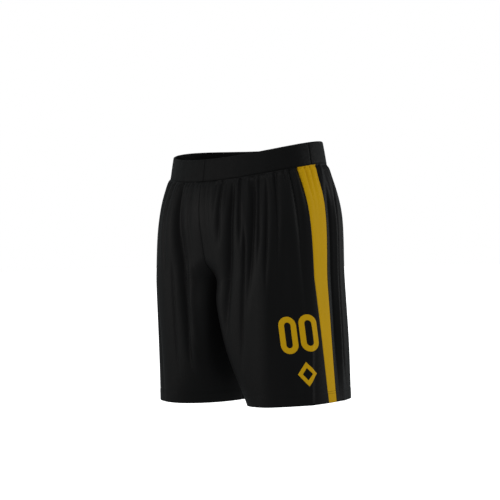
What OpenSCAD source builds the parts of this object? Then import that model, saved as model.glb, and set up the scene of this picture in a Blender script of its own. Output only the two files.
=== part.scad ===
// Knee-length shorts with an elastic waistband, worn shape, hanging from the waist.
// The origin is the centre of the waist opening at the height of its side rims.
// +Z is up, -Y is the front, and +X is the wearer's left.

/* [Waist] */
// Half width of the waist opening, side to side
waist_half_w = 168; // [150:1:180]
// Half depth of the waist opening, front to back
waist_half_d = 118; // [105:1:128]
// Height of the waistband
band_h = 43; // [35:1:50]
// How much further out the waistband's lower edge stands than its rim
band_flare = 7; // [3:1:9]
// How far the rim drops at the centre front
front_dip = 28; // [15:1:35]
// How far the rim rises at the centre back
back_rise = 3; // [0:1:8]
// Angle of the waistband's side joins, from the centre front
band_join = 86; // [80:1:94]

/* [Legs] */
// Height from the side rim to the hem
outseam = 498; // [460:1:520]
// Height from the side rim to the crotch
rise = 255; // [245:1:265]
// Half width of each leg at the crotch
crotch_half_w = 100; // [94:1:106]
// Half depth of each leg at the crotch
crotch_half_d = 122; // [115:1:128]
// Front to back place of the crotch point
crotch_y = -4; // [-10:1:10]
// Squareness of the legs' inner side at the crotch, 2 for an ellipse
crotch_square = 4; // [2:0.5:5]
// Half width of the leg opening
hem_half_w = 89; // [80:1:95]
// Half depth of the leg opening
hem_half_d = 114; // [105:1:120]
// Distance of the leg opening's centre from the middle
hem_x = 119; // [112:1:125]
// Front to back place of the leg opening's centre
hem_y = 8; // [0:1:15]
// How much higher the hem is on its outer side
hem_side_lift = 10; // [0:1:15]
// Fullness that the gathers give just under the waistband
gather_puff = 10; // [5:1:14]

/* [Cloth] */
// Thickness of the panels' cloth with its folds pressed flat
cloth_t = 1.2; // [1:0.1:1.5]
// Thickness of each wall of the waistband casing
casing_t = 1; // [0.8:0.1:1.2]
// Thickness of the elastic inside the casing
elastic_t = 1.6; // [1.2:0.1:2]
// Room between the elastic and the casing
elastic_gap = 0.2; // [0.1:0.1:0.3]

/* [Side stripes] */
// Width of the stripe at the waistband
stripe_top = 44; // [35:1:50]
// Width of the stripe at the hem
stripe_hem = 21; // [15:1:30]

/* [Transfers] */
// Height of a numeral
numeral_h = 71; // [60:1:80]
// Width of a numeral
numeral_w = 35; // [30:1:40]
// Width of a numeral's stroke
numeral_stroke = 11; // [8:1:14]
// Height of the numerals' middle, below the side rim
numeral_drop = 363; // [350:1:370]
// Distance from the rear numeral to the stripe
numeral_inset = 9; // [4:1:15]
// Thickness of the bonded film
film_t = 0.4; // [0.3:0.1:0.5]
// Width of the emblem
emblem_w = 36; // [30:1:42]
// Height of the emblem's middle, below the side rim
emblem_drop = 438; // [430:1:445]

/* [Hidden] */

cloth_colour = [0.09, 0.09, 0.09];
yellow = [0.67, 0.52, 0.10];
thread_colour = [0.13, 0.13, 0.13];
elastic_colour = [0.85, 0.85, 0.83];
label_colour = [0.8, 0.8, 0.8];

// Rows of a panel: even steps above the crotch, closer as they near it, and even steps below
rise_rows = 14;
leg_rows = 8;
front_cols = 16;
stripe_cols = 2;
back_cols = 18;
band_cols = 14;
ring_cols = 56;
crotch_v = (rise - band_h) / (outseam - band_h);
upper_rows = [for (i = [0:rise_rows]) crotch_v * (1 - pow(1 - i / rise_rows, 2))];
lower_rows = [for (i = [1:leg_rows]) crotch_v + (1 - crotch_v) * i / leg_rows];
rows = concat(upper_rows, lower_rows);

// Other shape constants
outer_square = 2.05;    // squareness of the legs' outer side
hip_rise_power = 2.9;   // how soon the width under the waistband reaches the hip's
part_power = 1.3;       // how soon the two halves draw apart towards the crotch
square_power = 6;       // how late the inner squareness comes in towards the crotch
puff_peak = 6.75;       // makes the largest value of s * (1 - s)^2 come to 1
thread_w = 1.2;
thread_t = 0.4;
film_lift = 0.02;       // hair's breadth between a film or thread and the cloth
numeral_gap = 5;        // between the two numerals
rear_numeral_lift = 3;  // the rear numeral sits a little higher
emblem_forward = 13;    // how far the emblem sits forward of the rear numeral's middle
hem_turn = 22;          // height of the turned hem
label_w = 30;
label_h = 42;
label_t = 0.5;
label_gap = 1.5;        // between the label and the casing's inner wall
label_tuck = 2;         // how far the label's top edge goes up behind the casing

function mix(a, b, k) = a + (b - a) * k;

// Height of the waist rim above the side rim's level, from the front to back place y
function rim_z(y, d) = let (t = y / d)
  (back_rise + front_dip) / 2 * t + (back_rise - front_dip) / 2 * t * t;

// Share of the way from the waistband seam to the crotch, and from there to the hem
function above(v) = min(1, v / crotch_v);
function below(v) = max(0, (v - crotch_v) / (1 - crotch_v));

// One half's cross section at v: centre x, half width, centre y, half depth, inner squareness
seam_half_w = waist_half_w + band_flare;
seam_half_d = waist_half_d + band_flare;
function apart(v) = pow(above(v), part_power);
function hip_w(v) = mix(seam_half_w, 2 * crotch_half_w, 1 - pow(1 - above(v), hip_rise_power));
function half_w(v) = v <= crotch_v ? hip_w(v) / (1 + apart(v)) : mix(crotch_half_w, hem_half_w, below(v));
function centre_x(v) = v <= crotch_v ? half_w(v) * apart(v) : mix(crotch_half_w, hem_x, below(v));
function puff(v) = gather_puff * puff_peak * above(v) * pow(1 - above(v), 2);
function half_d(v) = v <= crotch_v
  ? mix(seam_half_d, crotch_half_d, above(v)) + puff(v)
  : mix(crotch_half_d, hem_half_d, below(v));
function centre_y(v) = mix(crotch_y * above(v), hem_y, below(v));
function inner_square(v) = mix(mix(2, crotch_square, pow(above(v), square_power)), 2, below(v));

// Angle past the front at which the half's loop reaches the middle plane
function open_angle(v, t) = let (
    q = min(1, centre_x(v) / (half_w(v) - t)),
    n = inner_square(v)
  ) atan2(q * (half_w(v) - t), (half_d(v) - t) * pow(max(0, 1 - pow(q, n)), 1 / n));

// Distance from the half's centre to its loop, at angle a from the front
function reach(a, rx, ry, n) = pow(pow(abs(sin(a)) / rx, n) + pow(abs(cos(a)) / ry, n), -1 / n);

// A point of the left half: a from the front by way of the outer side, v down the garment,
// t inwards from the outer face
function cloth_point(a, v, t) = let (
    rx = half_w(v) - t,
    ry = half_d(v) - t,
    r = reach(a, rx, ry, sin(a) < 0 ? inner_square(v) : outer_square),
    x = max(0, centre_x(v) + r * sin(a)),
    y = centre_y(v) - r * cos(a),
    top = rim_z(y, seam_half_d) - band_h,
    hem = -outseam + hem_side_lift * (1 + sin(a)) / 2
  ) [x, y, v <= crotch_v ? mix(top, -rise, above(v)) : mix(-rise, hem, below(v))];

// Angle of the stripe's front edge; its rear edge is on the side line, at 90
function stripe_edge(v) = 90 - mix(stripe_top, stripe_hem, v) / half_w(v) * 180 / PI;

// Angles of a row of columns, from the inner seam at the front round to the back.
// The middle column of a panel keeps its angle, so only the inner columns fan out at the crotch.
front_middle = 28;
back_middle = 148;
function fan(from, mid, to, n) = [for (i = [0:n]) let (k = 2 * i / n)
  k < 1 ? mix(from, mid, k) : mix(mid, to, k - 1)];
function front_angles(v, t) = fan(-open_angle(v, t), front_middle, stripe_edge(v), front_cols);
function stripe_angles(v) = [for (i = [0:stripe_cols]) mix(stripe_edge(v), 90, i / stripe_cols)];
function back_angles(v, t) = fan(90, back_middle, 180 + open_angle(v, t), back_cols);

// Two triangles for each four-sided face, so that the surface has one meaning everywhere
function split(quads) = [for (q = quads) for (k = [1, 2]) [q[0], q[k], q[k + 1]]];

// A closed solid between two grids of points, outer and inner, given row by row
module sheet(outer, inner) {
  nr = len(outer);
  nc = len(outer[0]);
  inside = nr * nc;
  points = [for (grid = [outer, inner]) for (row = grid) for (p = row) p];
  function at(r, c) = r * nc + c;
  faces = concat(
    [for (r = [0:nr - 2]) for (c = [0:nc - 2]) [at(r, c), at(r, c + 1), at(r + 1, c + 1), at(r + 1, c)]],
    [for (r = [0:nr - 2]) for (c = [0:nc - 2])
      [inside + at(r, c), inside + at(r + 1, c), inside + at(r + 1, c + 1), inside + at(r, c + 1)]],
    [for (c = [0:nc - 2]) [at(0, c), inside + at(0, c), inside + at(0, c + 1), at(0, c + 1)]],
    [for (c = [0:nc - 2])
      [at(nr - 1, c), at(nr - 1, c + 1), inside + at(nr - 1, c + 1), inside + at(nr - 1, c)]],
    [for (r = [0:nr - 2]) [at(r, 0), at(r + 1, 0), inside + at(r + 1, 0), inside + at(r, 0)]],
    [for (r = [0:nr - 2])
      [at(r, nc - 1), inside + at(r, nc - 1), inside + at(r + 1, nc - 1), at(r + 1, nc - 1)]]
  );
  polyhedron(points, split(faces), convexity = 6);
}

// Four-sided faces round a row of sections, each a loop of np points, from section 0 to section steps.
// A section past the last of ns is the first one again, so steps = ns makes a closed ring.
function skin(ns, np, steps) = [for (s = [0:steps - 1]) for (k = [0:np - 1])
  let (s2 = (s + 1) % ns, k2 = (k + 1) % np) [s * np + k, s2 * np + k, s2 * np + k2, s * np + k2]];

// A closed ring lofted through sections, each a loop of points
module ring_loft(sections) {
  ns = len(sections);
  points = [for (s = sections) for (p = s) p];
  polyhedron(points, split(skin(ns, len(sections[0]), ns)), convexity = 6);
}

// An open bar lofted through sections, closed by end caps given as faces of one section
module bar_loft(sections, cap) {
  ns = len(sections);
  np = len(sections[0]);
  points = [for (s = sections) for (p = s) p];
  last = np * (ns - 1);
  far_cap = [for (f = cap) [for (k = [len(f) - 1:-1:0]) last + f[k]]];
  polyhedron(points, concat(split(skin(ns, np, ns - 1)), cap, far_cap), convexity = 8);
}

module front_panel() {
  sheet([for (v = rows) [for (a = front_angles(v, 0)) cloth_point(a, v, 0)]],
        [for (v = rows) [for (a = front_angles(v, cloth_t)) cloth_point(a, v, cloth_t)]]);
}

module back_panel() {
  sheet([for (v = rows) [for (a = back_angles(v, 0)) cloth_point(a, v, 0)]],
        [for (v = rows) [for (a = back_angles(v, cloth_t)) cloth_point(a, v, cloth_t)]]);
}

module side_stripe() {
  sheet([for (v = rows) [for (a = stripe_angles(v)) cloth_point(a, v, 0)]],
        [for (v = rows) [for (a = stripe_angles(v)) cloth_point(a, v, cloth_t)]]);
}

// A point of the waistband: a from the front, w from the rim (0) to the seam (1), t inwards
function band_point(a, w, t) = let (
    rx = waist_half_w + band_flare * w - t,
    ry = waist_half_d + band_flare * w - t,
    r = reach(a, rx, ry, 2),
    y = -r * cos(a)
  ) [r * sin(a), y, rim_z(y, ry) - band_h * w];

// The casing is a folded strip: outer wall, fold over the elastic, inner wall
casing_depth = 2 * casing_t + elastic_t + 2 * elastic_gap;
fold_w = casing_t / band_h;
casing_outline = [
  [1, 0], [0.5, 0], [2 * fold_w, 0], [0.4 * fold_w, 0.3 * casing_depth],
  [0.4 * fold_w, 0.7 * casing_depth], [2 * fold_w, casing_depth], [0.5, casing_depth], [1, casing_depth],
  [1, casing_depth - casing_t], [2.6 * fold_w, casing_depth - casing_t],
  [2.6 * fold_w, casing_t], [1, casing_t]
];

// The U-shaped end of the casing in triangles: two walls and the fold between them
casing_end = [[0, 1, 11], [1, 10, 11], [1, 2, 10], [2, 3, 10], [3, 9, 10], [3, 4, 9],
              [4, 5, 9], [5, 8, 9], [5, 6, 8], [6, 7, 8]];

module casing(from, to) {
  bar_loft([for (i = [0:band_cols]) let (a = mix(from, to, i / band_cols))
    [for (p = casing_outline) band_point(a, p[0], p[1])]], casing_end);
}

module waist_elastic() {
  inset = casing_t + elastic_gap;
  top_w = 2.6 * fold_w + elastic_gap / band_h;
  foot_w = 0.97;
  outline = [[foot_w, inset], [top_w, inset], [top_w, inset + elastic_t], [foot_w, inset + elastic_t]];
  color(elastic_colour)
    ring_loft([for (i = [0:ring_cols - 1]) [for (p = outline) band_point(360 * i / ring_cols, p[0], p[1])]]);
}

// Length of cloth for each degree round the left leg
function arc_speed(a, v) = norm(cloth_point(a + 0.5, v, 0) - cloth_point(a - 0.5, v, 0));

// A point on the left leg's outer face, s forward of the stripe's front edge and drop below the rim
function on_leg(s, drop, lift) = let (
    v = (drop - band_h) / (outseam - band_h),
    edge = stripe_edge(v)
  ) cloth_point(edge - s / arc_speed(edge - s / 4, v), v, -lift);

// Bonded film between an outer and an inner outline, curved with the cloth
module film_ring(s, drop, outside, inside) {
  function place(p, lift) = on_leg(s - p[0], drop - p[1], lift);
  ring_loft([for (i = [0:len(outside) - 1])
    [place(inside[i], film_lift), place(outside[i], film_lift),
     place(outside[i], film_t), place(inside[i], film_t)]]);
}

// An upright stadium, w wide and h high, with round ends
function stadium(w, h) = let (r = w / 2, k = h / 2 - r, n = 8) concat(
  [for (i = [0:n]) [r * cos(180 * i / n), k + r * sin(180 * i / n)]],
  [for (i = [0:n]) [-r * cos(180 * i / n), -k - r * sin(180 * i / n)]]
);

rear_numeral_s = numeral_inset + numeral_w / 2;
front_numeral_s = rear_numeral_s + numeral_w + numeral_gap;
module numeral(s, drop) {
  color(yellow)
    film_ring(s, drop, stadium(numeral_w, numeral_h),
              stadium(numeral_w - 2 * numeral_stroke, numeral_h - 2 * numeral_stroke));
}

// A plain diamond frame
emblem_ratio = 1.3;
emblem_hole = 0.5;
emblem_steps = 16;
function diamond(m) = [for (i = [0:emblem_steps - 1]) let (a = 90 * floor(4 * i / emblem_steps),
    f = 4 * i / emblem_steps - floor(4 * i / emblem_steps))
  [m * mix(cos(a), cos(a + 90), f), emblem_ratio * m * mix(sin(a), sin(a + 90), f)]];
module emblem() {
  color(yellow)
    film_ring(rear_numeral_s + emblem_forward, emblem_drop,
              diamond(emblem_w / 2), diamond(emblem_hole * emblem_w / 2));
}

// A plain woven tab that hangs inside the centre back from the waistband seam
module care_label() {
  y = seam_half_d - casing_depth - label_gap;
  z = rim_z(seam_half_d, seam_half_d) - band_h + label_tuck;
  color(label_colour)
    translate([-label_w / 2, y - label_t, z - label_h])
      cube([label_w, label_t, label_h]);
}

// Flat line of stitches round a leg, on the outer face above the hem
module hem_stitching() {
  v0 = 1 - hem_turn / (outseam - rise) * (1 - crotch_v);
  v1 = v0 + thread_w / (outseam - band_h);
  ring = concat([for (i = [0:front_cols - 1]) front_angles(v0, 0)[i]],
                [for (i = [0:stripe_cols - 1]) stripe_angles(v0)[i]],
                [for (i = [0:back_cols - 1]) back_angles(v0, 0)[i]]);
  color(thread_colour)
    ring_loft([for (a = ring) [cloth_point(a, v1, -film_lift), cloth_point(a, v1, -thread_t),
                               cloth_point(a, v0, -thread_t), cloth_point(a, v0, -film_lift)]]);
}

// Line of stitches round the waistband, just above its seam
module waist_seam_stitching() {
  w0 = 0.94;
  w1 = w0 + thread_w / band_h;
  color(thread_colour)
    ring_loft([for (i = [0:ring_cols - 1]) let (a = 360 * i / ring_cols)
      [band_point(a, w1, -film_lift), band_point(a, w1, -thread_t),
       band_point(a, w0, -thread_t), band_point(a, w0, -film_lift)]]);
}

// Line of stitches inside the rise seam, from the front seam under the crotch to the back
module rise_stitching() {
  front = [for (i = [1:rise_rows - 1]) cloth_point(-open_angle(rows[i], cloth_t), rows[i], cloth_t)];
  back = [for (i = [rise_rows - 1:-1:1]) cloth_point(180 + open_angle(rows[i], cloth_t), rows[i], cloth_t)];
  middle = [0, crotch_y, -band_h];
  function inward(p) = let (d = middle - p) d / norm(d);
  // Each section's corners: across the seam, and inwards from the cloth
  gap = 0.2;
  corners = [for (k = [[-1, 0], [1, 0], [1, 1], [-1, 1]]) [k[0] * thread_w / 2, gap + k[1] * 2 * thread_t]];
  color(thread_colour)
    bar_loft([for (p = concat(front, back)) let (in = inward(p))
      [for (k = corners) [k[0], p[1] + in[1] * k[1], p[2] + in[2] * k[1]]]], [[0, 1, 2], [0, 2, 3]]);
}

module left(tint) {
  color(tint) children();
}
module right(tint) {
  color(tint) mirror([1, 0, 0]) children();
}

left(cloth_colour) front_panel();  // front_panel_left
right(cloth_colour) front_panel();  // front_panel_right
left(cloth_colour) back_panel();  // back_panel_left
right(cloth_colour) back_panel();  // back_panel_right
left(yellow) side_stripe();  // side_stripe_left
right(yellow) side_stripe();  // side_stripe_right
left(cloth_colour) casing(0, band_join);  // waistband_front_left
right(cloth_colour) casing(0, band_join);  // waistband_front_right
left(cloth_colour) casing(band_join, 180);  // waistband_back_left
right(cloth_colour) casing(band_join, 180);  // waistband_back_right
waist_elastic();
numeral(front_numeral_s, numeral_drop);  // numeral_front
numeral(rear_numeral_s, numeral_drop - rear_numeral_lift);  // numeral_rear
emblem();
care_label();
left(thread_colour) hem_stitching();  // hem_stitching_left
right(thread_colour) hem_stitching();  // hem_stitching_right
waist_seam_stitching();
rise_stitching();
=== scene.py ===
"""Gathered sports shorts in worn shape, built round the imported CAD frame. Metres, +Z up, -Y is the front."""
import math

import bpy
import numpy as np
from mathutils import Matrix, Vector


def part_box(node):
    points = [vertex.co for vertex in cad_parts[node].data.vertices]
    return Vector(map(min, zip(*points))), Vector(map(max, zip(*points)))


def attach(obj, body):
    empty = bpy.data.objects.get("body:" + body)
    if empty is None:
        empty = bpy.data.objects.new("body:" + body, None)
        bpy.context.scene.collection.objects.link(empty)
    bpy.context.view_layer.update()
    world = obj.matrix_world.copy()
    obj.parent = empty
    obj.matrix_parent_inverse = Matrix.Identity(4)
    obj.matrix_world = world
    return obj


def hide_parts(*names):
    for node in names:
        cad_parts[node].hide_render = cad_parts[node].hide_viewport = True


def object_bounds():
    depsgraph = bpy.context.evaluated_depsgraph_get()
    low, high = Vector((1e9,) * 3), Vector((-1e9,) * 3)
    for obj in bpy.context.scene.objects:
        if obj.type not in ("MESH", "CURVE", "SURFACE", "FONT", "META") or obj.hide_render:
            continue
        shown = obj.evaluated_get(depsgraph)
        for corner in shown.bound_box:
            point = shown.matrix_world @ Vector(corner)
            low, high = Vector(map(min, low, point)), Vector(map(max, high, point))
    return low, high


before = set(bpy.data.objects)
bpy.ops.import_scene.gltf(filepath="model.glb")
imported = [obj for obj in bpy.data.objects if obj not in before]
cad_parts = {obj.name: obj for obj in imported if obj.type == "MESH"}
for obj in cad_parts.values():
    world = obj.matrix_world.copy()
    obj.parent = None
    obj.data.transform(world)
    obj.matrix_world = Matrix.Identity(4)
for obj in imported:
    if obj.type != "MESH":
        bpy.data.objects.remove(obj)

CAD_LOW, CAD_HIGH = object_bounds()
MM = 0.001
BODY = "root"

# ---------------------------------------------------------------- driving dimensions, as in the CAD
WAIST_HALF_W, WAIST_HALF_D = 168 * MM, 118 * MM
BAND_H, BAND_FLARE = 43 * MM, 7 * MM
FRONT_DIP, BACK_RISE = 28 * MM, 3 * MM
BAND_JOIN = 86.0                      # degrees from the centre front to the waistband's side join
OUTSEAM, RISE = 498 * MM, 255 * MM
CROTCH_HALF_W, CROTCH_HALF_D, CROTCH_Y, CROTCH_SQUARE = 100 * MM, 122 * MM, -4 * MM, 4.0
HEM_HALF_W, HEM_HALF_D, HEM_X, HEM_Y, HEM_SIDE_LIFT = 89 * MM, 114 * MM, 119 * MM, 8 * MM, 10 * MM
GATHER_PUFF, PUFF_PEAK = 10 * MM, 6.75
OUTER_SQUARE, HIP_POWER, PART_POWER, SQUARE_POWER = 2.05, 2.9, 1.3, 6
STRIPE_TOP, STRIPE_HEM = 44 * MM, 21 * MM
SEAM_HALF_W, SEAM_HALF_D = WAIST_HALF_W + BAND_FLARE, WAIST_HALF_D + BAND_FLARE
PANEL_LENGTH = OUTSEAM - BAND_H
CROTCH_V = (RISE - BAND_H) / PANEL_LENGTH

# ---------------------------------------------------------------- how the cloth differs from the CAD
CLOTH_T = 0.7 * MM                    # one layer of the shell cloth
BRIDGE = 0.85                         # share of the groove between the legs that the cloth bridges
BRIDGE_START, BRIDGE_FULL, BRIDGE_FADE = 0.02, 0.15, 0.395   # how far down it starts, is full and fades
FRONT_SQUARE = 1.0                    # how much squarer the thighs' inner front corners hang
SQUARE_GROWTH, SQUARE_FADE = 0.12, 0.66   # that grows over the first share, and fades from the second on
RIGHT_HEM_DROP, HEM_DROP_POWER = 14 * MM, 1.3   # the right leg hangs lower, most of all on its outer side


def mix(a, b, k):
    return a + (b - a) * k


def smoothstep(low, high, x):
    t = np.clip((x - low) / (high - low), 0, 1)
    return t * t * (3 - 2 * t)


def rim_z(y, half_d):
    """Height of the waist rim at the front-to-back place y, over its height at the sides."""
    t = y / half_d
    return (BACK_RISE + FRONT_DIP) / 2 * t + (BACK_RISE - FRONT_DIP) / 2 * t * t


# ---------------------------------------------------------------- the garment's surface
FRONT, BACK = 0, 1                    # ends of a half's loop, where it meets the middle plane


def shares(v):
    """How much of the way from the waistband to the crotch, and from the crotch to the hem, v has covered."""
    up = np.clip(v / CROTCH_V, 0, 1)
    down = np.clip((v - CROTCH_V) / (1 - CROTCH_V), 0, 1)
    return up, down


def section(v):
    """One half's cross section v of the way down: half width, centre x, half depth, centre y, and how square
    its inner side is in front and at the back."""
    up, down = shares(v)
    apart = up ** PART_POWER
    hip = mix(SEAM_HALF_W, 2 * CROTCH_HALF_W, 1 - (1 - up) ** HIP_POWER)
    over = v <= CROTCH_V
    rx = np.where(over, hip / (1 + apart), mix(CROTCH_HALF_W, HEM_HALF_W, down))
    cx = np.where(over, rx * apart, mix(CROTCH_HALF_W, HEM_X, down))
    puff = GATHER_PUFF * PUFF_PEAK * up * (1 - up) ** 2
    ry = np.where(over, mix(SEAM_HALF_D, CROTCH_HALF_D, up) + puff, mix(CROTCH_HALF_D, HEM_HALF_D, down))
    cy = mix(CROTCH_Y * up, HEM_Y, down)
    square = mix(mix(2.0, CROTCH_SQUARE, up ** SQUARE_POWER), 2.0, down)
    squarer = smoothstep(CROTCH_V, CROTCH_V + SQUARE_GROWTH, v) * (1 - smoothstep(SQUARE_FADE, 1, v))
    return rx, cx, ry, cy, (square * (1 + FRONT_SQUARE * squarer), square)


def open_angle(v, end):
    """Angle past the front or the back, in degrees, at which a half's loop meets the middle plane."""
    rx, cx, ry, _, squares = section(v)
    n = squares[end]
    q = np.clip(cx / rx, 0, 1)
    return np.degrees(np.arctan2(cx, ry * np.maximum(0, 1 - q ** n) ** (1 / n)))


def base_point(a, v):
    """A point of the left half, smooth and unfolded: a degrees from the front by way of the outer side."""
    rx, cx, ry, cy, squares = section(v)
    s, c = np.sin(np.radians(a)), np.cos(np.radians(a))
    n = np.where(s < 0, np.where(c > 0, squares[FRONT], squares[BACK]), OUTER_SQUARE)
    r = ((np.abs(s) / rx) ** n + (np.abs(c) / ry) ** n) ** (-1 / n)
    # In front and at the back the cloth bridges the groove between the legs, until just over the crotch
    bridge = BRIDGE * smoothstep(BRIDGE_START, BRIDGE_FULL, v) * (1 - smoothstep(BRIDGE_FADE, CROTCH_V, v))
    bridge = bridge * (s < 0) * smoothstep(0, 0.5, np.abs(c))
    x = cx + r * s
    y = cy - np.sign(c) * mix(r * np.abs(c), ry, bridge)
    up, down = shares(v)
    top = rim_z(y, SEAM_HALF_D) - BAND_H - PANEL_LENGTH * np.minimum(v, 0)
    hem = -OUTSEAM + HEM_SIDE_LIFT * (1 + s) / 2
    z = np.where(v <= CROTCH_V, mix(top, -RISE, up), mix(-RISE, hem, down))
    return np.stack([x, y, z], -1)


def stripe_edge(v):
    """Angle of the stripe's front edge, in degrees from the front. Its rear edge is at 90."""
    return 90 - np.degrees(mix(STRIPE_TOP, STRIPE_HEM, v) / section(v)[0])


INNER_COLS, OUTER_COLS, STRIPE_COLS, SIDE_COLS, BACK_COLS = 124, 134, 30, 116, 90
FRONT_COLS = INNER_COLS + OUTER_COLS
SIDE_COL = FRONT_COLS + STRIPE_COLS
FRONT_MIDDLE, BACK_MIDDLE = 28.0, 148.0
EASE_V = 26 * MM / PANEL_LENGTH       # how far up and down corners in the shape are eased
TAPS = np.linspace(-1, 1, 9)          # places that the easing samples, in shares of that
TAP_WEIGHTS = (1.05 - TAPS ** 2) / (1.05 - TAPS ** 2).sum()
SPREAD_POWER, FRONT_POWER, BACK_POWER = 2.5, 16, 12   # a larger one spreads only columns near the seam


def ring_angles(v):
    """Angles of one row's columns, from the inner seam round the front, stripe and back to that seam."""
    edge = stripe_edge(v)
    # The columns past the middle plane spread mostly next to the inner seam, so the others stay upright
    span = min(EASE_V, max(v, 0), 1 - v)
    spread = [(TAP_WEIGHTS * open_angle(v + TAPS * span, end)).sum() for end in (FRONT, BACK)]
    sudden = [open_angle(v, end) - spread[end] for end in (FRONT, BACK)]
    k = 1 - np.arange(INNER_COLS) / INNER_COLS
    front = FRONT_MIDDLE * (1 - k) - spread[FRONT] * k ** SPREAD_POWER - sudden[FRONT] * k ** FRONT_POWER
    k = np.arange(BACK_COLS + 1) / BACK_COLS
    back = mix(BACK_MIDDLE, 180, k) + spread[BACK] * k ** SPREAD_POWER + sudden[BACK] * k ** BACK_POWER
    marks = [(FRONT_MIDDLE, edge, OUTER_COLS), (edge, 90.0, STRIPE_COLS), (90.0, BACK_MIDDLE, SIDE_COLS)]
    return np.concatenate([front] + [mix(a, b, np.arange(n) / n) for a, b, n in marks] + [back])


RISE_ROWS, LEG_ROWS = 100, 76
TUCK_V = 0.9 * MM / PANEL_LENGTH      # the cloth's top edge goes this far up behind the casing's outer wall
ROWS_V = np.concatenate([[-TUCK_V, 0, TUCK_V, 2 * TUCK_V],
                         mix(3 * TUCK_V, CROTCH_V, np.arange(RISE_ROWS + 1) / RISE_ROWS),
                         mix(CROTCH_V, 1.0, np.arange(1, LEG_ROWS + 1) / LEG_ROWS)])


def unit(vectors):
    return vectors / np.maximum(np.linalg.norm(vectors, axis=-1, keepdims=True), 1e-12)


def grid_normals(p):
    """Unit normals of a grid of points, rows first, that point out of the garment's left half."""
    return unit(np.cross(np.gradient(p, axis=1), -np.gradient(p, axis=0)))


def eased_point(a, v):
    """base_point with its corners across the crotch's height eased out, and never past the middle plane."""
    span = np.minimum(EASE_V, np.minimum(np.maximum(v, 0), 1 - v))
    total = sum(w * base_point(a, v + t * span) for t, w in zip(TAPS, TAP_WEIGHTS))
    total[..., 0] = np.maximum(total[..., 0], 0)
    return total


def eased_normals(a, v):
    """Unit normals of the eased surface, from small steps round it and down it."""
    da, dv = 0.4, 0.003
    across = eased_point(a + da, v) - eased_point(a - da, v)
    down = eased_point(a, np.minimum(v + dv, 1)) - eased_point(a, np.maximum(v - dv, 0))
    return unit(np.cross(across, -down))


# ---------------------------------------------------------------- folds
GIRTH_RATIO = SEAM_HALF_W / SEAM_HALF_D


def girth_angle(p):
    """Angle round the whole garment, 0 at the centre front, 180 at the centre back: folds hang along it."""
    return np.degrees(np.arctan2(p[..., 0], -GIRTH_RATIO * p[..., 1]))


# Large folds: side, angle at the top, angle at the foot, from, to, half width in degrees, height in mm
FOLDS = [
    ("right", 19.4, 21, -0.06, 1.00, 1.9, -20.0),
    ("right", 15.6, 14.6, -0.04, 0.92, 1.2, -5.0),
    ("right", 12, 17, 0.36, 1.05, 3.0, 6.0),
    ("right", 26, 30, 0.35, 0.95, 0.9, -3.0),
    ("right", 31, 32, -0.04, 0.50, 1.6, -4.0),
    ("right", 47, 45, 0.05, 1.10, 2.6, -4.5),
    ("right", 70, 72, 0.02, 0.90, 3.5, -4.0),
    ("right", 100, 102, 0.02, 1.10, 3.0, -5.0),
    ("right", 118, 117, 0.05, 1.10, 3.4, -4.5),
    ("left", 16, 13, -0.06, 0.34, 1.5, -8.0),
    ("left", 24.2, 15, -0.06, 0.78, 2.1, -14.0),
    ("left", 27.8, 28.2, -0.06, 0.36, 1.1, -6.0),
    ("left", 30.5, 27, 0.18, 0.88, 0.8, -5.5),
    ("left", 37.6, 31.5, -0.06, 0.64, 1.7, -8.0),
    ("left", 41.8, 37, -0.06, 0.44, 1.1, -5.5),
    ("left", 45.4, 42, -0.06, 0.56, 1.1, -5.0),
    ("left", 41, 43, 0.25, 1.25, 5.0, 3.5),
    ("left", 57, 60, 0.15, 1.25, 8.0, -4.5),
    ("left", 71, 70, 0.60, 1.15, 2.0, 2.6),
    ("left", 96, 98, -0.02, 1.10, 2.2, -8.0),
    ("left", 103, 103, 0.02, 1.15, 2.2, 4.5),
    ("left", 110, 111, 0.02, 1.10, 2.0, -8.0),
    ("left", 122, 121, 0.02, 1.15, 3.0, 4.0),
]
# Sizes of gathers, large to small: how many round a half, shortest run, mean of the rest of the run,
# narrowest and widest half width in degrees, lowest and highest depth in mm
GATHER_SIZES = [(6, 0.45, 0.30, 1.8, 3.0, 3.0, 6.0), (22, 0.10, 0.13, 1.2, 2.3, 4.5, 8.5),
                (40, 0.03, 0.03, 0.45, 0.75, 2.0, 3.6)]
SEEDS = {"left": 11, "right": 23}
OWN_DRIFT, MOST_DRIFT = 4, 8          # degrees by which a gather leans: large ones, and small ones at most
FRONT_SHARE = 0.45                    # how much of the seeded gathers' depth is left in front
GATHER_SPREAD = 1.2                   # how much wider a gather is by the hem
SWAY_RATE, FOLD_SWAY = 9, 0.4         # how quickly folds sway down the cloth, and the large ones' degrees
DEEPEST = 18 * MM                     # no valley is deeper than this
STRIPE_FLATNESS = 0.75                # share of the folds' height that the stripe leaves out
WANDER = 1.6 * MM                     # slow unevenness of the cloth, low down
CRIMP = 0.3                           # share of the folds' height that is missing at the waistband's seam
GATHER_SWELL = 3.6 * MM               # how far gathered cloth stands out just below the waistband
TUCK_DEPTH = 1.1 * MM                 # how far in the top edge lies, behind the casing's outer wall


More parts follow.
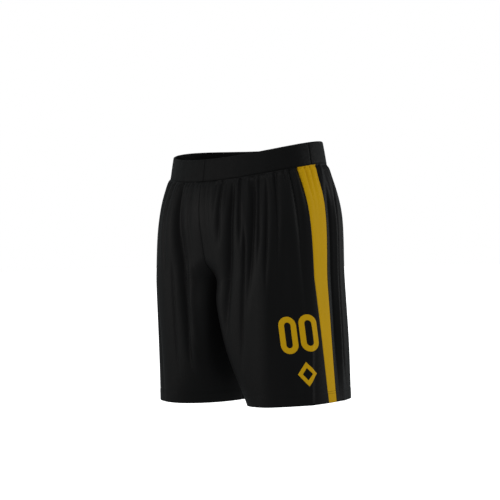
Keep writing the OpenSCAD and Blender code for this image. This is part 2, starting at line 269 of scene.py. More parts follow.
def gathers(side_name):
    """Seeded valleys that start at the waistband, run into larger ones and fade at different lengths."""
    rng = np.random.default_rng(SEEDS[side_name])
    made = []
    for count, shortest, spread, narrow, wide, low, high in GATHER_SIZES:
        larger = [g["at"] for g in made]
        for i in range(count):
            at = (i + rng.uniform(0.1, 0.9)) * 180 / count
            length = shortest + rng.exponential(spread)
            drift = rng.uniform(-OWN_DRIFT, OWN_DRIFT)
            if larger:
                # It leans towards the nearest larger one, and covers most of the gap by its end
                drift = 0.6 * (min(larger, key=lambda other: abs(other - at)) - at) / (1.5 * length)
                drift = float(np.clip(drift, -MOST_DRIFT, MOST_DRIFT))
            made.append({"at": at, "drift": drift, "length": length, "width": rng.uniform(narrow, wide),
                         "depth": rng.uniform(low, high), "sway": rng.uniform(0.1, 0.5),
                         "phase": rng.uniform(0, 6.3)})
    return made


def crease(d):
    """Profile of a valley: sharp at the bottom and round at its shoulders."""
    return np.exp(-1.3 * (np.sqrt(d * d + 0.08) - 0.28))


def fold_height(side_name, phi, v, facing):
    """How far the cloth stands off its smooth shape at girth angle phi and v of the way down.

    facing is the sideways outward part of the surface's normal, -1 between the legs.
    """
    f = np.zeros_like(phi)
    for side, top, foot, start, end, width, height in FOLDS:
        if side == side_name:
            k = np.clip((v - start) / (end - start), 0, 1)
            taper = smoothstep(0, 0.2, k) * (1 - smoothstep(0.6, 1, k))
            d = (phi - mix(top, foot, k) - FOLD_SWAY * np.sin(SWAY_RATE * v + top)) / width
            f += height * MM * taper * (np.exp(-d * d) if height > 0 else crease(d))
    # In front the large folds above leave less cloth for the seeded ones
    share = mix(FRONT_SHARE, 1, smoothstep(44, 56, phi))
    for g in gathers(side_name):
        middle = g["at"] + g["drift"] * v + g["sway"] * np.sin(SWAY_RATE * v + g["phase"])
        d = (phi - middle) / (g["width"] * (1 + GATHER_SPREAD * v))
        f -= g["depth"] * MM * np.exp(-(v / g["length"]) ** 2) * crease(d) * share
    # The stripe is a firmer strip, and hangs nearly flat below its top
    on_stripe = smoothstep(70, 76, phi) * (1 - smoothstep(89, 93, phi))
    f *= 1 - STRIPE_FLATNESS * smoothstep(0.04, 0.2, v) * on_stripe
    f = np.where(f < 0, DEEPEST * np.tanh(f / DEEPEST), f)
    wander = np.sin(np.radians(phi * 5 + 30)) + 0.6 * np.sin(np.radians(phi * 9 + 200 * v))
    f += WANDER * wander * smoothstep(0.1, 1, v)
    # The cloth is crimped hard at the waistband, and its folds fade at the middle seams and between the legs
    f *= 1 - CRIMP + CRIMP * smoothstep(0, 0.03, v)
    f *= smoothstep(-0.8, 0.0, facing) * smoothstep(0, 3, phi) * smoothstep(0, 3, 180 - phi)
    f += GATHER_SWELL * smoothstep(-0.004, 0.024, v) * (1 - smoothstep(0.06, 0.5, v))
    # The top edge goes up behind the casing's outer wall
    return mix(-TUCK_DEPTH, f, smoothstep(-0.1 * TUCK_V, 2.5 * TUCK_V, v))


MIDDLE_GROOVE, SIDE_GROOVE, GROOVE_COLS = 0.5 * MM, 0.4 * MM, 1.2   # depths at seams, half width in columns
HEM_TURN = 22 * MM
HEM_PROUD, HEM_STEP = 0.35 * MM, 1.5 * MM       # the turned hem is doubled, so it stands a little proud
HEM_GROOVE, HEM_GROOVE_W = 0.25 * MM, 2.0 * MM  # its upper stitches pull the cloth in


def seam_groove(columns, at, depth):
    """How the cloth dips round the seam at one column."""
    return -depth * np.exp(-((columns - at) / GROOVE_COLS) ** 2)


class Half:
    """The folded cloth surface of one half, as a grid of points and normals, in the left half's place."""

    def __init__(self, side_name):
        self.sign = 1 if side_name == "left" else -1
        self.angles = np.array([ring_angles(v) for v in ROWS_V])
        self.v = np.repeat(ROWS_V[:, None], self.angles.shape[1], 1)
        base = eased_point(self.angles, self.v)
        normal = eased_normals(self.angles, self.v)
        height = fold_height(side_name, girth_angle(base), self.v, normal[..., 0])
        columns = np.arange(base.shape[1])[None, :]
        last = base.shape[1] - 1
        seams = {0: MIDDLE_GROOVE, FRONT_COLS: SIDE_GROOVE, SIDE_COL: SIDE_GROOVE, last: MIDDLE_GROOVE}
        for at, depth in seams.items():
            height = height + seam_groove(columns, at, depth) * (self.v > 0)
        from_hem = (1 - self.v) * PANEL_LENGTH
        height = height + HEM_PROUD * (1 - smoothstep(HEM_TURN - HEM_STEP, HEM_TURN + HEM_STEP, from_hem))
        height = height - HEM_GROOVE * np.exp(-((from_hem - HEM_TURN) / HEM_GROOVE_W) ** 2)
        p = base + normal * height[..., None]
        # The two halves stay joined along the rise seam, and each leg along its inner seam
        above_crotch = ROWS_V <= CROTCH_V
        p[above_crotch, 0, 0] = p[above_crotch, -1, 0] = 0
        middle = (p[~above_crotch, 0] + p[~above_crotch, -1]) / 2
        p[~above_crotch, 0] = p[~above_crotch, -1] = middle
        if side_name == "right":
            outward = 0.6 + 0.4 * np.sin(np.radians(self.angles))
            p[..., 2] -= RIGHT_HEM_DROP * outward * shares(self.v)[1] ** HEM_DROP_POWER
        self.points = p
        self.normals = grid_normals(p)

    def placed(self, p):
        """Points or normals of this half, moved from the left half's place to its own."""
        return p * np.array([self.sign, 1, 1])

    def at(self, s, drop):
        """A point and normal on the cloth, s forward of the stripe and drop below the side rim."""
        s, drop = np.asarray(s, float), np.asarray(drop, float)
        v = (drop - BAND_H) / PANEL_LENGTH
        edge = stripe_edge(v)

        def degree_length(angle):
            return np.linalg.norm(base_point(angle + 0.5, v) - base_point(angle - 0.5, v), axis=-1)

        halfway = edge - s / degree_length(edge) / 2
        a = edge - s / degree_length(halfway)
        row = np.interp(v, ROWS_V, np.arange(len(ROWS_V)))
        r0 = np.clip(row.astype(int), 0, len(ROWS_V) - 2)
        k = row - r0
        points, normals = [], []
        for r, t, ang in zip(r0.ravel(), k.ravel(), a.ravel()):
            line = []
            for q in (r, r + 1):
                col = np.interp(ang, self.angles[q], np.arange(self.angles.shape[1]))
                c0 = min(int(col), self.angles.shape[1] - 2)
                line.append([mix(g[q, c0], g[q, c0 + 1], col - c0) for g in (self.points, self.normals)])
            points.append(mix(line[0][0], line[1][0], t))
            normals.append(mix(line[0][1], line[1][1], t))
        shape = a.shape + (3,)
        return np.array(points).reshape(shape), unit(np.array(normals)).reshape(shape)


# ---------------------------------------------------------------- mesh making
def new_object(name, verts, faces, material, smooth=True, cloth=None):
    """A mesh object. cloth gives each vertex's place on the flat cloth, in metres, for the weave."""
    mesh = bpy.data.meshes.new(name)
    mesh.from_pydata([tuple(p) for p in verts], [], [tuple(int(i) for i in f) for f in faces])
    mesh.validate()
    mesh.materials.append(material)
    if smooth:
        mesh.polygons.foreach_set("use_smooth", [True] * len(mesh.polygons))
    mesh.update()
    if cloth is not None:
        flat = mesh.attributes.new("cloth", "FLOAT_VECTOR", "POINT")
        flat.data.foreach_set("vector", np.asarray(cloth, float).ravel())
    obj = bpy.data.objects.new(name, mesh)
    bpy.context.scene.collection.objects.link(obj)
    return obj


def grid_faces(rows, cols, start=0, flip=False, close_rows=False, close_cols=False):
    """Quads of a grid of vertices, rows first, whose first vertex has the number start."""
    r = np.arange(rows if close_rows else rows - 1)
    c = np.arange(cols if close_cols else cols - 1)
    r, c = np.meshgrid(r, c, indexing="ij")
    r2, c2 = (r + 1) % rows, (c + 1) % cols
    quad = np.stack([r * cols + c, r2 * cols + c, r2 * cols + c2, r * cols + c2], -1).reshape(-1, 4) + start
    return quad[:, ::-1] if flip else quad


def cloth_places(grid):
    """Place of each grid point on its flat cloth: distance along its row, and down the first column."""
    along = np.linalg.norm(np.diff(grid, axis=1), axis=-1)
    along = np.concatenate([np.zeros((len(grid), 1)), np.cumsum(along, 1)], 1)
    along -= along[:, along.shape[1] // 2][:, None]
    down = np.linalg.norm(np.diff(grid[:, grid.shape[1] // 2], axis=0), axis=-1)
    down = np.concatenate([[0], np.cumsum(down)])
    return np.stack([along, np.repeat(down[:, None], grid.shape[1], 1), np.zeros(along.shape)], -1)


def shell(name, outer, inner, material, mirrored):
    """A closed sheet between an outer and an inner grid of points."""
    rows, cols = outer.shape[:2]
    n = rows * cols
    faces = [grid_faces(rows, cols, 0, mirrored), grid_faces(rows, cols, n, not mirrored)]
    edge = [[r * cols for r in range(rows)], [r * cols + cols - 1 for r in range(rows)][::-1],
            list(range(cols))[::-1], [(rows - 1) * cols + c for c in range(cols)]]
    strips = []
    for line in edge:
        for a, b in zip(line, line[1:]):
            strips.append([a, a + n, b + n, b] if not mirrored else [b, b + n, a + n, a])
    verts = np.concatenate([outer.reshape(-1, 3), inner.reshape(-1, 3)])
    places = cloth_places(outer).reshape(-1, 3)
    return new_object(name, verts, np.concatenate(faces + [np.array(strips)]), material,
                      cloth=np.concatenate([places, places]))


ALLOWANCE_COLS, ALLOWANCE_STEP, ALLOWANCE_INSET = 4, 1.5 * MM, 0.2 * MM


def panel(name, half, first, last, material):
    """One cloth panel between two columns, with its seam allowances turned to the inside."""
    p, n = half.points[:, first:last + 1], half.normals[:, first:last + 1]
    outer = [p]
    for edge, inward in ((0, 1), (-1, -1)):
        along = unit(p[:, edge + inward] - p[:, edge])
        turn = [p[:, edge] - n[:, edge] * ALLOWANCE_STEP * k + along * ALLOWANCE_INSET
                for k in range(1, ALLOWANCE_COLS + 1)]
        grid = np.stack(turn, 1)
        outer = [grid[:, ::-1]] + outer if edge == 0 else outer + [grid]
    p = np.concatenate(outer, 1)
    inner = p - grid_normals(p) * CLOTH_T
    return shell(name, half.placed(p), half.placed(inner), material, half.sign < 0)


# ---------------------------------------------------------------- materials
def nodes_of(name):
    """A new material, its node tree and its shader."""
    material = bpy.data.materials.new(name)
    material.use_nodes = True
    tree = material.node_tree
    tree.nodes.clear()
    out = tree.nodes.new("ShaderNodeOutputMaterial")
    shader = tree.nodes.new("ShaderNodeBsdfPrincipled")
    tree.links.new(shader.outputs["BSDF"], out.inputs["Surface"])
    return material, tree, shader


def add(tree, kind, **values):
    """A new node. Each value is set on its setting, or else on its input of that name."""
    node = tree.nodes.new(kind)
    for key, value in values.items():
        if hasattr(node, key):
            setattr(node, key, value)
        else:
            node.inputs[key.replace("_", " ")].default_value = value
    return node


def remap(tree, value, low, high, to_low, to_high):
    """An output with value's range from low to high spread over to_low to to_high."""
    node = add(tree, "ShaderNodeMapRange", From_Min=low, From_Max=high, To_Min=to_low, To_Max=to_high)
    tree.links.new(value, node.inputs["Value"])
    return node.outputs["Result"]


ROUGHNESS_SPREAD, SHEEN_ROUGHNESS = 0.05, 0.45
WAVE_PERIOD = math.pi / 10            # period of Blender's wave texture at scale 1, in metres


def fabric(name, colour, roughness, sheen, weave_mm, weave_bump, mottle=0.12, specular=0.5):
    """Woven or knitted cloth: crossing threads as bump, slow colour variation, and a soft sheen."""
    material, tree, shader = nodes_of(name)
    link = tree.links.new
    coords = add(tree, "ShaderNodeTexCoord").outputs["Object"]
    shader.inputs["Specular IOR Level"].default_value = specular
    shader.inputs["Sheen Weight"].default_value = sheen
    shader.inputs["Sheen Roughness"].default_value = SHEEN_ROUGHNESS
    # Colour: slow blotches and fine yarn variation
    slow = add(tree, "ShaderNodeTexNoise", Scale=9.0, Detail=3.0)
    fine = add(tree, "ShaderNodeTexNoise", Scale=900.0, Detail=2.0)
    for node in (slow, fine):
        link(coords, node.inputs["Vector"])
    both = add(tree, "ShaderNodeMath", operation="ADD")
    link(slow.outputs["Fac"], both.inputs[0])
    link(fine.outputs["Fac"], both.inputs[1])
    tint = add(tree, "ShaderNodeVectorMath", operation="SCALE")
    tint.inputs[0].default_value = colour
    link(remap(tree, both.outputs[0], 0.6, 1.4, 1 - mottle, 1 + mottle), tint.inputs["Scale"])
    link(tint.outputs["Vector"], shader.inputs["Base Color"])
    # Roughness varies a little with the same blotches
    rough = remap(tree, slow.outputs["Fac"], 0, 1, roughness - ROUGHNESS_SPREAD, roughness + ROUGHNESS_SPREAD)
    link(rough, shader.inputs["Roughness"])
    # Threads cross along and down the flat cloth
    flat = add(tree, "ShaderNodeAttribute", attribute_name="cloth").outputs["Vector"]
    total = add(tree, "ShaderNodeMath", operation="ADD")
    for socket, direction in zip(total.inputs, ("X", "Y")):
        wave = add(tree, "ShaderNodeTexWave", wave_type="BANDS", bands_direction=direction,
                   Scale=WAVE_PERIOD / (weave_mm * MM), Distortion=0.4)
        link(flat, wave.inputs["Vector"])
        link(wave.outputs["Fac"], socket)
    bump = add(tree, "ShaderNodeBump", Strength=weave_bump, Distance=0.2 * MM)
    link(total.outputs[0], bump.inputs["Height"])
    # Small creases in the cloth
    rumples = add(tree, "ShaderNodeTexNoise", Scale=28.0, Detail=4.0, Roughness=0.55)
    link(coords, rumples.inputs["Vector"])
    soft = add(tree, "ShaderNodeBump", Strength=0.2, Distance=1.0 * MM)
    link(rumples.outputs["Fac"], soft.inputs["Height"])
    link(bump.outputs["Normal"], soft.inputs["Normal"])
    link(soft.outputs["Normal"], shader.inputs["Normal"])
    return material


BLACK = (0.0060, 0.0058, 0.0059)
YELLOW = (0.60, 0.342, 0.0035)
shell_cloth = fabric("shell_cloth", BLACK, 0.49, 0.003, 0.8, 0.10, specular=0.125)
band_cloth = fabric("band_cloth", (0.0054, 0.0053, 0.0053), 0.48, 0.003, 0.9, 0.4, specular=0.10)
stripe_cloth = fabric("stripe_cloth", YELLOW, 0.5, 0.004, 0.8, 0.35, mottle=0.06, specular=0.05)
label_cloth = fabric("label_cloth", (0.36, 0.36, 0.35), 0.6, 0.1, 0.5, 0.4, mottle=0.05)
elastic_cloth = fabric("elastic_cloth", (0.62, 0.62, 0.60), 0.8, 0.3, 1.2, 0.9, mottle=0.08)
thread_black = fabric("thread_black", (0.0055, 0.0055, 0.0055), 0.5, 0.004, 0.25, 0.8, mottle=0.1,
                      specular=0.05)
film = fabric("film", YELLOW, 0.42, 0.0, 1.6, 0.12, mottle=0.04, specular=0.07)


def declare(obj, slot, *nodes):
    """Tells the frame which body a piece rides on and the CAD nodes that it replaces. slot is not used."""
    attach(obj, BODY)
    if nodes:
        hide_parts(*nodes)
    return obj


# ---------------------------------------------------------------- panels and stripes
halves = {name: Half(name) for name in ("left", "right")}
LAST_COL = halves["left"].points.shape[1] - 1
sheets = {}
for side, half in halves.items():
    for kind, first, last, material, slot in (
            ("front_panel", 0, FRONT_COLS, shell_cloth, "shell_fabric"),
            ("side_stripe", FRONT_COLS, SIDE_COL, stripe_cloth, "stripe_fabric"),
            ("back_panel", SIDE_COL, LAST_COL, shell_cloth, "shell_fabric")):
        node = f"{kind}_{side}"
        sheets[node] = declare(panel(node + "_cloth", half, first, last, material), slot, node)


# ---------------------------------------------------------------- waistband
def band_point(a, w, t):
    """A point of the waistband: a degrees from the front, w from rim (0) to seam (1), t inwards."""
    rx = WAIST_HALF_W + BAND_FLARE * w - t
    ry = WAIST_HALF_D + BAND_FLARE * w - t
    s, c = np.sin(np.radians(a)), np.cos(np.radians(a))
    r = ((s / rx) ** 2 + (c / ry) ** 2) ** -0.5
    y = -r * c
    return np.stack([r * s, y, rim_z(y, ry) - BAND_H * w], -1)


CASING_T, ELASTIC_T, ELASTIC_GAP = 1.0 * MM, 1.6 * MM, 0.2 * MM
CASING_DEPTH = 2 * CASING_T + ELASTIC_T + 2 * ELASTIC_GAP
CASING_COLS, ELASTIC_COLS, WALL_POINTS, TURN_STEPS = 150, 220, 12, 12
BELLY, TUCK_IN = 0.2 * MM, 0.2 * MM   # the outer wall bulges in its middle, and goes in at the seam
JOIN_GROOVE, JOIN_GROOVE_W = 0.9 * MM, 1.3 * MM
JOIN_GAP = 0.02                       # degrees between a casing's end and the join


def casing_profile():
    """Closed outline of the folded casing: (w down from the rim, depth inwards) pairs."""
    outer, inner = [], []
    radius = CASING_DEPTH / 2
    radius_w = radius / BAND_H
    for w in np.linspace(1.0, radius_w, WALL_POINTS)[:-1]:
        belly = BELLY * math.sin(math.pi * w)
        tuck = TUCK_IN * float(smoothstep(0.96, 1.0, w))
        outer.append((w, tuck - belly))
        inner.append((w, tuck - belly + CASING_T))
    for k in range(TURN_STEPS + 1):
        b = math.pi * k / TURN_STEPS
        for line, r in ((outer, 1), (inner, 1 - CASING_T / radius)):
            line.append((radius_w * (1 - r * math.sin(b)), radius * (1 - r * math.cos(b))))
    for w in np.linspace(radius_w, 1.0, WALL_POINTS)[1:]:
        outer.append((w, CASING_DEPTH))
        inner.append((w, CASING_DEPTH - CASING_T))
    return outer + inner[::-1]


def band_ripple(a):
    """Slight unevenness of the casing's outer wall: two waves that seldom meet."""
    return 0.12 * MM * math.sin(math.radians(a * 31)) + 0.1 * MM * math.sin(math.radians(a * 17 + 50))


def casing(name, start, end, sign):
    """One casing piece, with its end edges drawn in a little along the joins."""
    outline = casing_profile()
    angles = np.linspace(start, end, CASING_COLS)
    length = (end - start) / 180 * math.pi * (WAIST_HALF_W + WAIST_HALF_D) / 2
    grid = []
    for a in angles:
        from_end = min(a - start, end - a) / (end - start) * length
        dip = JOIN_GROOVE * math.exp(-(from_end / JOIN_GROOVE_W) ** 2) + band_ripple(a)
        grid.append([band_point(a, w, t + (dip if t < CASING_DEPTH / 2 else 0)) for w, t in outline])
    grid = np.array(grid) * np.array([sign, 1, 1])
    n = len(outline)
    faces = [list(f) for f in grid_faces(CASING_COLS, n, 0, sign > 0, close_cols=True)]
    for start_vertex, flip in ((0, sign < 0), ((CASING_COLS - 1) * n, sign > 0)):
        for k in range(n // 2 - 1):
            quad = [start_vertex + i for i in (k, k + 1, n - 2 - k, n - 1 - k)]
            faces.append(quad if flip else quad[::-1])
    return new_object(name, grid.reshape(-1, 3), faces, band_cloth, cloth=cloth_places(grid).reshape(-1, 3))


for side, sign in (("left", 1), ("right", -1)):
    for kind, start, end in (("front", 0.0, BAND_JOIN), ("back", BAND_JOIN, 180.0)):
        node = f"waistband_{kind}_{side}"
        piece = casing(node + "_cloth", start + JOIN_GAP, end - JOIN_GAP, sign)
        sheets[node] = declare(piece, "band_fabric", node)


def ring(name, outline, cols, material):
    """A closed ring inside the waistband, of one outline in (w, t) all round."""
    grid = np.array([[band_point(a, w, t) for w, t in outline] for a in np.arange(cols) * 360 / cols])
    faces = grid_faces(cols, len(outline), 0, True, close_rows=True, close_cols=True)
    return new_object(name, grid.reshape(-1, 3), faces, material, cloth=cloth_places(grid).reshape(-1, 3))


def elastic_outline():
    """Flat elastic with rounded edges and lengthwise ribs on both faces."""
    ribs, top, foot, rib_depth, edge_depth = 22, 0.085, 0.965, 0.12 * MM, 0.3 * MM
    near, far = CASING_T + ELASTIC_GAP, CASING_T + ELASTIC_GAP + ELASTIC_T
    side = []
    for k in range(ribs + 1):
        sunk = (rib_depth if k % 2 else 0) + (edge_depth if k in (0, ribs) else 0)
        side.append((mix(foot, top, k / ribs), near + sunk))
    back = [(w, far - (t - near)) for w, t in side[::-1]]
    return side + back


elastic = ring("waist_elastic_band", elastic_outline(), ELASTIC_COLS, elastic_cloth)
declare(elastic, "elastic", "waist_elastic")


# ---------------------------------------------------------------- stitches
HEM_STITCH = {"pitch": 3.0 * MM, "gap": 0.7 * MM, "width": 0.55 * MM, "height": 0.3 * MM}
WAIST_STITCH = {"pitch": 3.0 * MM, "gap": 0.7 * MM, "width": 0.5 * MM, "height": 0.25 * MM}
RISE_STITCH = {"pitch": 3.0 * MM, "gap": 0.6 * MM, "width": 1.6 * MM, "height": 0.7 * MM}
# A stitch's section, in shares of its width and height, and its size at places along it
STITCH_SECTION = [(-0.5, 0.0), (-0.36, 0.75), (0.0, 1.0), (0.36, 0.75), (0.5, 0.0)]
STITCH_STATIONS = [(0, 0.35), (0.12, 0.85), (0.5, 1.0), (0.88, 0.85), (1, 0.35)]
STITCH_SINK = 0.05 * MM
HEM_ROW_GAP = 4 * MM
WAIST_ROW_PLACE, WAIST_ROW_LIFT = 0.94, 0.12 * MM
RISE_ROW_INSET = 7 * MM               # the rise's thread lies this far inside, at the allowances' ends
RISE_ROW_TOP, RISE_ROW_FOOT = 0.02, 0.995 * CROTCH_V


def stitch_mesh(name, path, normals, pitch, gap, width, height):
    """Separate stitches along a path of points: each a rounded bar of thread on the cloth."""
    path, normals = np.asarray(path), np.asarray(normals)
    step = np.linalg.norm(np.diff(path, axis=0), axis=1)
    run = np.concatenate([[0], np.cumsum(step)])
    count = int(run[-1] / pitch)
    verts, faces = [], []
    places, sizes = np.array(STITCH_STATIONS).T
    cols = len(STITCH_SECTION)
    for i in range(count):
        stations = places * (pitch - gap) + i * pitch
        at = np.stack([np.interp(stations, run, path[:, k]) for k in range(3)], 1)
        up = np.stack([np.interp(stations, run, normals[:, k]) for k in range(3)], 1)
        along = at[-1] - at[0]
        along /= np.linalg.norm(along)
        base = len(verts)
        for p, n, s in zip(at, up, sizes):
            n = n - along * (n @ along)
            n /= np.linalg.norm(n)
            across = np.cross(n, along)
            for x, h in STITCH_SECTION:
                verts.append(p + across * x * width * s + n * (h * height * s - STITCH_SINK))
        for r in range(len(stations) - 1):
            for c in range(cols):
                c2 = (c + 1) % cols
                faces.append([base + r * cols + c, base + r * cols + c2,
                              base + (r + 1) * cols + c2, base + (r + 1) * cols + c])
        end = base + (len(stations) - 1) * cols
        faces.append([base + c for c in range(cols)][::-1])
        faces.append([end + c for c in range(cols)])
    return new_object(name, verts, faces, thread_black)


def join_objects(name, objects):
    """One object of several, under a new name."""
    for other in bpy.context.selected_objects:
        other.select_set(False)
    for obj in objects:
        obj.select_set(True)
    bpy.context.view_layer.objects.active = objects[0]
    bpy.ops.object.join()
    objects[0].name = name
    return objects[0]


for side, half in halves.items():
    rows = []
    for from_hem in (HEM_TURN, HEM_TURN - HEM_ROW_GAP):
        v = 1 - from_hem / PANEL_LENGTH
        r = int(np.searchsorted(ROWS_V, v)) - 1
        k = (v - ROWS_V[r]) / (ROWS_V[r + 1] - ROWS_V[r])
        path = half.placed(mix(half.points[r], half.points[r + 1], k))
        normal = half.placed(mix(half.normals[r], half.normals[r + 1], k))
        rows.append(stitch_mesh(f"hem_row_{len(rows)}_{side}", path, normal, **HEM_STITCH))
    node = f"hem_stitching_{side}"
    declare(join_objects(node + "_thread", rows), "thread", node)

seam_path = band_point(np.linspace(0, 360, 721), WAIST_ROW_PLACE, -WAIST_ROW_LIFT)
seam_normal = unit(seam_path * np.array([1, (WAIST_HALF_W / WAIST_HALF_D) ** 2, 0]))
declare(stitch_mesh("waist_seam_thread", seam_path, seam_normal, **WAIST_STITCH), "thread",
        "waist_seam_stitching")

# The rise's thread runs down the front seam, under the crotch and up the back seam, on the middle plane
rise_rows = np.flatnonzero((ROWS_V > RISE_ROW_TOP) & (ROWS_V < RISE_ROW_FOOT))
behind = halves["left"].points - halves["left"].normals * RISE_ROW_INSET
rise_path = np.concatenate([behind[rise_rows, 0], behind[rise_rows[::-1], -1]])
rise_path[:, 0] = 0
rise_in = np.array([0, CROTCH_Y, -BAND_H]) - rise_path
rise_in[:, 0] = 0
declare(stitch_mesh("rise_thread", rise_path, unit(rise_in), **RISE_STITCH), "thread", "rise_stitching")

# ---------------------------------------------------------------- numerals and emblem
NUMERAL_H, NUMERAL_W, NUMERAL_STROKE = 71 * MM, 35 * MM, 11 * MM
NUMERAL_DROP, NUMERAL_INSET, NUMERAL_GAP, REAR_LIFT = 363 * MM, 9 * MM, 5 * MM, 3 * MM
EMBLEM_W, EMBLEM_RATIO, EMBLEM_HOLE, EMBLEM_DROP, EMBLEM_FORWARD = 36 * MM, 1.3, 0.5, 438 * MM, 13 * MM
FILM_T, FILM_LIFT, FILM_FOOT = 0.35 * MM, 0.12 * MM, 0.02 * MM
FILM_EDGE, FILM_RINGS = 0.55, 8       # share of the thickness that its edges have, and steps across a stroke
REAR_S = NUMERAL_INSET + NUMERAL_W / 2
FRONT_S = REAR_S + NUMERAL_W + NUMERAL_GAP


def stadium(w, h, n=28):
    """Upright outline with round ends, with points evenly shared so that two of them pair up."""
    r, k = w / 2, h / 2 - w / 2
    right = [(r, y) for y in np.linspace(-k, k, n, endpoint=False)]
    top = [(r * math.cos(b), k + r * math.sin(b)) for b in np.linspace(0, math.pi, n, endpoint=False)]
    return np.array(right + top + [(-x, -y) for x, y in right + top])


def diamond(m, n=16):
    """Upright diamond of half width m, with n points a side."""
    corners = [(m, 0), (0, EMBLEM_RATIO * m), (-m, 0), (0, -EMBLEM_RATIO * m)]
    points = []
    for (x0, y0), (x1, y1) in zip(corners, corners[1:] + corners[:1]):
        points += [(mix(x0, x1, t), mix(y0, y1, t)) for t in np.arange(n) / n]
    return np.array(points)


def film_ring(name, s, drop, outside, inside):
    """Bonded film laid on the left leg, following its folds, with softened edges."""
    half = halves["left"]
    count = len(outside)
    flat = np.stack([mix(inside, outside, k) for k in np.linspace(0, 1, FILM_RINGS + 1)])
    points, normals = half.at(s - flat[..., 0], drop - flat[..., 1])
    thick = np.full(FILM_RINGS + 1, FILM_T)
    thick[[0, -1]] = FILM_T * FILM_EDGE
    top = points + normals * (FILM_LIFT + thick)[:, None, None]
    foot = points[[-1, 0]] + normals[[-1, 0]] * FILM_FOOT
    grid = np.concatenate([top, foot])
    faces = grid_faces(len(grid), count, 0, True, close_rows=True, close_cols=True)
    places = np.concatenate([flat, flat[[-1, 0]]]).reshape(-1, 2)
    return new_object(name, grid.reshape(-1, 3), faces, film, cloth=np.pad(places, ((0, 0), (0, 1))))


numeral = [stadium(NUMERAL_W - 2 * stroke, NUMERAL_H - 2 * stroke) for stroke in (0, NUMERAL_STROKE)]
declare(film_ring("numeral_front_film", FRONT_S, NUMERAL_DROP, *numeral), "transfer_film", "numeral_front")
declare(film_ring("numeral_rear_film", REAR_S, NUMERAL_DROP - REAR_LIFT, *numeral), "transfer_film",
        "numeral_rear")
declare(film_ring("emblem_film", REAR_S + EMBLEM_FORWARD, EMBLEM_DROP, diamond(EMBLEM_W / 2),
                  diamond(EMBLEM_HOLE * EMBLEM_W / 2)), "transfer_film", "emblem")

# ---------------------------------------------------------------- care label
label_low, label_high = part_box("care_label")
LABEL_T, LABEL_CURL, LABEL_BULGE = 0.45 * MM, 2.5 * MM, 0.8 * MM


def care_label():
    """A plain woven tab that hangs from the seam inside the centre back, with a gentle curl."""
    rows, cols = 24, 16
    grid = np.zeros((rows, cols, 3))
    for r in range(rows):
        for c in range(cols):
            u, w = c / (cols - 1), r / (rows - 1)
            x = mix(label_low.x, label_high.x, u)
            curl = LABEL_CURL * w * w + LABEL_BULGE * math.sin(math.pi * u) * w
            grid[r, c] = (x, label_low.y - curl, mix(label_high.z, label_low.z, w))
    inner = grid + np.array([0, LABEL_T, 0])
    return shell("care_label_tab", grid, inner, label_cloth, False)


sheets["care_label"] = declare(care_label(), "label_fabric", "care_label")

# ---------------------------------------------------------------- the sheets, gone through with nothing done to them
for node, piece in sheets.items():
    kind = node.replace("_left", "").replace("_right", "")
    if kind in ("front_panel", "back_panel"):
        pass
    elif kind == "side_stripe":
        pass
    elif kind == "care_label":
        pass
    else:
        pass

# ---------------------------------------------------------------- camera
AZIMUTH, ROLL = math.radians(42.0), math.radians(-1.0)
DISTANCE, EYE_Z, SIDE_STEP = 2.27, -0.202, 0.0034
LENS, SENSOR = 82.5, 36.0
toward = Vector((math.sin(AZIMUTH), -math.cos(AZIMUTH), 0))
right = Vector((math.cos(AZIMUTH), math.sin(AZIMUTH), 0))
up = Vector((0, 0, 1))
cam_right = right * math.cos(ROLL) + up * math.sin(ROLL)
cam_up = up * math.cos(ROLL) - right * math.sin(ROLL)
camera_data = bpy.data.cameras.new("camera")
camera_data.lens, camera_data.sensor_width = LENS, SENSOR
camera = bpy.data.objects.new("camera", camera_data)
bpy.context.scene.collection.objects.link(camera)
place = toward * DISTANCE + right * SIDE_STEP + up * EYE_Z
camera.matrix_world = Matrix.Translation(place) @ Matrix((cam_right, cam_up, toward)).transposed().to_4x4()
bpy.context.scene.camera = camera

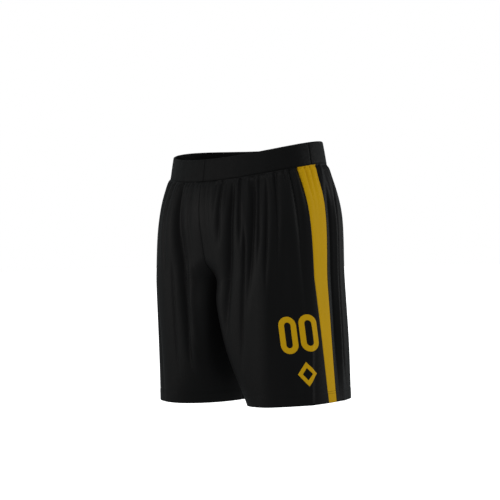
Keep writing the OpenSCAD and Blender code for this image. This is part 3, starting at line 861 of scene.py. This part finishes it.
# ---------------------------------------------------------------- floor, world and lights
FLOOR_DROP, FLOOR_HALF = 0.32, 30
floor_material, _, floor_shader = nodes_of("pale_floor")
floor_shader.inputs["Base Color"].default_value = (0.9, 0.9, 0.9, 1)
floor_shader.inputs["Roughness"].default_value = 0.9
floor_shader.inputs["Emission Color"].default_value = (1, 1, 1, 1)
floor_shader.inputs["Emission Strength"].default_value = 1.0
floor_corners = [(FLOOR_HALF * x, FLOOR_HALF * y, CAD_LOW.z - FLOOR_DROP)
                 for x, y in ((-1, -1), (1, -1), (1, 1), (-1, 1))]
floor = new_object("floor", floor_corners, [(0, 1, 2, 3)], floor_material, smooth=False)
floor.visible_diffuse = floor.visible_glossy = False     # it stays white and throws no light up the legs

FILL_STRENGTH, ROOM_STRENGTH = 0.52, 0.21
world = bpy.data.worlds.new("studio")
bpy.context.scene.world = world
world.use_nodes = True
# White behind the object, a soft fill where the room lights it, and a dark room in its gloss
backdrop = world.node_tree.nodes["Background"]
backdrop.inputs["Color"].default_value = (1, 1, 1, 1)
fill = add(world.node_tree, "ShaderNodeBackground", Color=(0.96, 0.99, 1.0, 1), Strength=FILL_STRENGTH)
dark_room = add(world.node_tree, "ShaderNodeBackground", Color=(0.9, 0.98, 1.0, 1), Strength=ROOM_STRENGTH)
rays = add(world.node_tree, "ShaderNodeLightPath")
lit = fill.outputs[0]
for ray, other in (("Is Glossy Ray", dark_room), ("Is Camera Ray", backdrop)):
    choose = add(world.node_tree, "ShaderNodeMixShader")
    world.node_tree.links.new(rays.outputs[ray], choose.inputs[0])
    world.node_tree.links.new(lit, choose.inputs[1])
    world.node_tree.links.new(other.outputs[0], choose.inputs[2])
    lit = choose.outputs[0]
world.node_tree.links.new(lit, world.node_tree.nodes["World Output"].inputs["Surface"])


def softbox(name, azimuth, elevation, distance, size, power, colour=(1, 1, 1)):
    """A square area light that faces the middle of the object."""
    centre = (CAD_LOW + CAD_HIGH) / 2
    a, e = math.radians(azimuth), math.radians(elevation)
    back = Vector((math.sin(a) * math.cos(e), -math.cos(a) * math.cos(e), math.sin(e)))
    data = bpy.data.lights.new(name, "AREA")
    data.shape, data.size, data.energy, data.color = "SQUARE", size, power, colour
    light = bpy.data.objects.new(name, data)
    light.location = centre + back * distance
    light.rotation_mode = "QUATERNION"
    light.rotation_quaternion = back.to_track_quat("Z", "Y")
    bpy.context.scene.collection.objects.link(light)


softbox("key", -38, 5, 2.0, 1.1, 5.9, (1.0, 0.97, 0.94))
softbox("front", 2, 8, 2.3, 1.3, 4.6)
softbox("rim", 138, 8, 2.0, 1.2, 9.5)
softbox("top", 20, 62, 1.8, 0.6, 3)
bpy.context.scene.view_settings.view_transform = "Standard"
